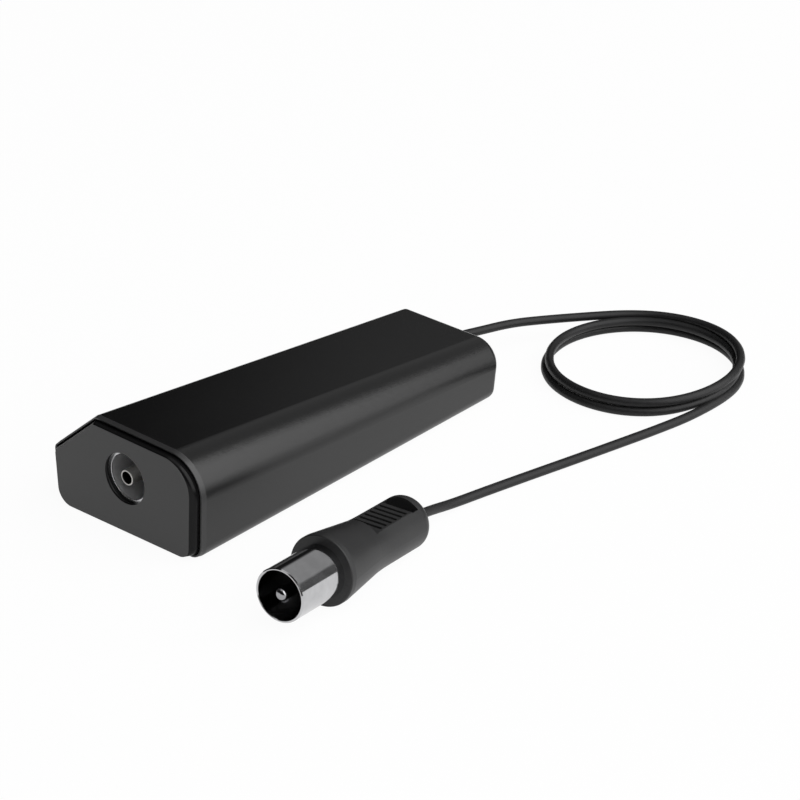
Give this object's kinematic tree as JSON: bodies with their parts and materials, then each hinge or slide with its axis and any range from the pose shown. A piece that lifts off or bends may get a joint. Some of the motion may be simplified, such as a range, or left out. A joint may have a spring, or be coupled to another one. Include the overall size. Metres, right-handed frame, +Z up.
{
  "type": "in-line television aerial box",
  "caption": "Slim tapered in-line aerial box with a coaxial socket in its end cap and a thin captive cord that ends in a moulded coaxial plug.",
  "frame": {"origin": "middle of the housing's foot, on the surface that it stands on", "axes": "+Y from the socket end to the cord end along the housing, +Z up, +X towards the housing's rounded shoulder"},
  "size_m": [0.0711, 0.1387, 0.0199],
  "materials": {
    "housing_plastic": "black moulded plastic, satin",
    "cap_plastic": "black moulded plastic, finely grained face with a glossy bevel",
    "nickel": "bright nickel plate",
    "contact_metal": "nickel-plated spring bronze",
    "socket_dielectric": "grey moulded insulator",
    "plug_dielectric": "black moulded insulator",
    "board_laminate": "green glass-epoxy laminate",
    "tinplate": "bright tinplate",
    "ferrite": "dark grey ferrite",
    "copper_wire": "enamelled copper",
    "ceramic": "fired ceramic with tinned ends",
    "ferrule_brass": "plain brass",
    "bush_rubber": "black rubber",
    "cord_jacket": "black flexible jacket, slightly glossy",
    "grip_soft": "dark grey soft plastic overmould",
    "carrier_plastic": "natural moulded carrier"
  },
  "bodies": {
    "root": {"housing_sleeve": "housing_plastic", "end_cap": "cap_plastic", "socket_shell": "nickel", "socket_insulator": "socket_dielectric", "socket_contact": "contact_metal", "socket_bracket": "tinplate", "circuit_board": "board_laminate", "shield_fence": "tinplate", "shield_lid": "tinplate", "drum_inductors": "ferrite", "inductor_windings": "copper_wire", "chip_capacitors": "ceramic", "contact_wire": "copper_wire", "cord_bush": "bush_rubber", "coax_tail": "cord_jacket", "crimp_ferrule": "ferrule_brass", "cord_saddle": "tinplate", "cord_lead_in": "cord_jacket", "cord_coil": "cord_jacket", "cord_lead_out": "cord_jacket", "plug_sleeve": "nickel", "plug_insulator": "plug_dielectric", "plug_pin": "nickel", "plug_core": "carrier_plastic", "plug_ferrule": "ferrule_brass", "plug_grip": "grip_soft", "plug_lead": "cord_jacket"}
  },
  "joints": []
}
